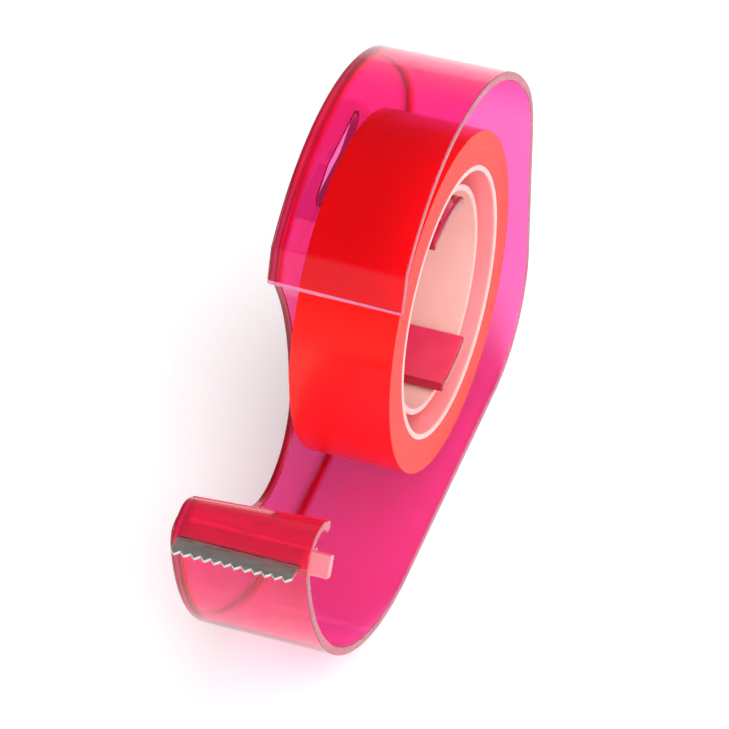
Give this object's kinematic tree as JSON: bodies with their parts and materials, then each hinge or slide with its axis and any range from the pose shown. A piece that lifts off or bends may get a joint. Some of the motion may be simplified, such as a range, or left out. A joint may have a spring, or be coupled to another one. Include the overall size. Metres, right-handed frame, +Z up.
{
  "type": "tape dispenser",
  "caption": "Small snail-shaped hand tape dispenser: clear coloured shell open on one side, steel cutter in the nose, tape roll turning on snap fingers.",
  "frame": {"origin": "on the resting surface, under the middle of the bounding box", "axes": "+X along the roll's axis towards the open side, -Y towards the nose and the cutter, +Z up from the flat base"},
  "size_m": [0.0184, 0.077, 0.0508],
  "materials": {
    "clear_plastic": "clear magenta, polished",
    "cutter_steel": "stamped strip, satin",
    "core_plastic": "milky white moulding",
    "tape_film": "glossy translucent red film, wound tight"
  },
  "bodies": {
    "shell": {"side_wall": "clear_plastic", "hood": "clear_plastic", "back_band": "clear_plastic", "base": "clear_plastic", "nose": "clear_plastic", "nose_bead": "clear_plastic", "blade_seat": "clear_plastic", "finger_bottom": "clear_plastic", "finger_top": "clear_plastic", "cutter_blade": "cutter_steel"},
    "roll": {"core_rim": "core_plastic", "core_web": "core_plastic", "core_sleeve": "core_plastic", "tape_roll": "tape_film"}
  },
  "joints": [
    {"name": "roll_spin", "type": "hinge", "parent": "shell", "child": "roll", "pos_m": [0, 0.01278, 0.0244], "axis": [1, 0, 0], "continuous": true}
  ]
}
